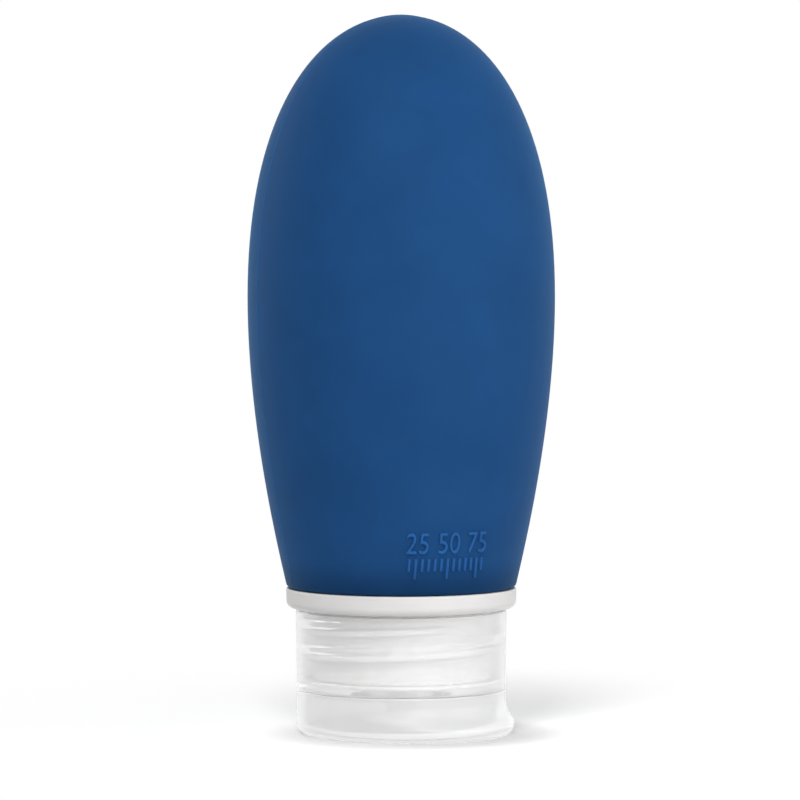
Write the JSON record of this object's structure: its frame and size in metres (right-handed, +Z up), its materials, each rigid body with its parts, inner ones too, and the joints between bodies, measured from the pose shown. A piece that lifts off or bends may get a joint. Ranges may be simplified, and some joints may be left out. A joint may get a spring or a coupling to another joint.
{
  "type": "travel silicone bottle",
  "caption": "Soft squeeze bottle for toiletries that stands on its clear flip-top screw cap, with a threaded neck, collar ring and drip valve.",
  "frame": {"origin": "on the bottle's axis, on the surface that the closed lid stands on", "axes": "+Z up along the bottle's axis from the cap to the dome, -Y towards the side with the capacity scale, X along the mould's parting plane"},
  "size_m": [0.0488, 0.0486, 0.1135],
  "materials": {
    "silicone_body": "matte moulded silicone",
    "neck_plastic": "satin moulded polypropylene",
    "collar_plastic": "satin moulded polypropylene",
    "cap_clear": "clear polished plastic",
    "seal_silicone": "natural translucent silicone",
    "valve_silicone": "natural translucent silicone",
    "retainer_plastic": "satin moulded polypropylene",
    "lid_clear": "clear polished plastic"
  },
  "bodies": {
    "cap": {"screw_cap": "cap_clear", "cap_gasket": "seal_silicone", "drip_valve": "valve_silicone", "valve_retainer": "retainer_plastic"},
    "lid": {"flip_lid": "lid_clear"},
    "collar": {"collar_ring": "collar_plastic"},
    "bottle": {"bottle_body": "silicone_body", "neck_insert": "neck_plastic"}
  },
  "joints": [
    {"name": "lid_hinge", "type": "hinge", "parent": "cap", "child": "lid", "pos_m": [-0.00901, 0.01442, 0.00705], "axis": [0.848, 0.5299, 0], "range_deg": [0, 180]},
    {"name": "bottle_lift", "type": "slide", "parent": "cap", "child": "collar", "axis": [0, 0, 1], "range_m": [0, 0.012]},
    {"name": "bottle_turn", "type": "hinge", "parent": "collar", "child": "bottle", "pos_m": [0, 0, 0], "axis": [0, 0, 1], "range_deg": [0, 1080]}
  ],
  "couplings": [
    {"joint": "bottle_lift", "follows": "bottle_turn", "m_per_rad": 0.0006366}
  ]
}
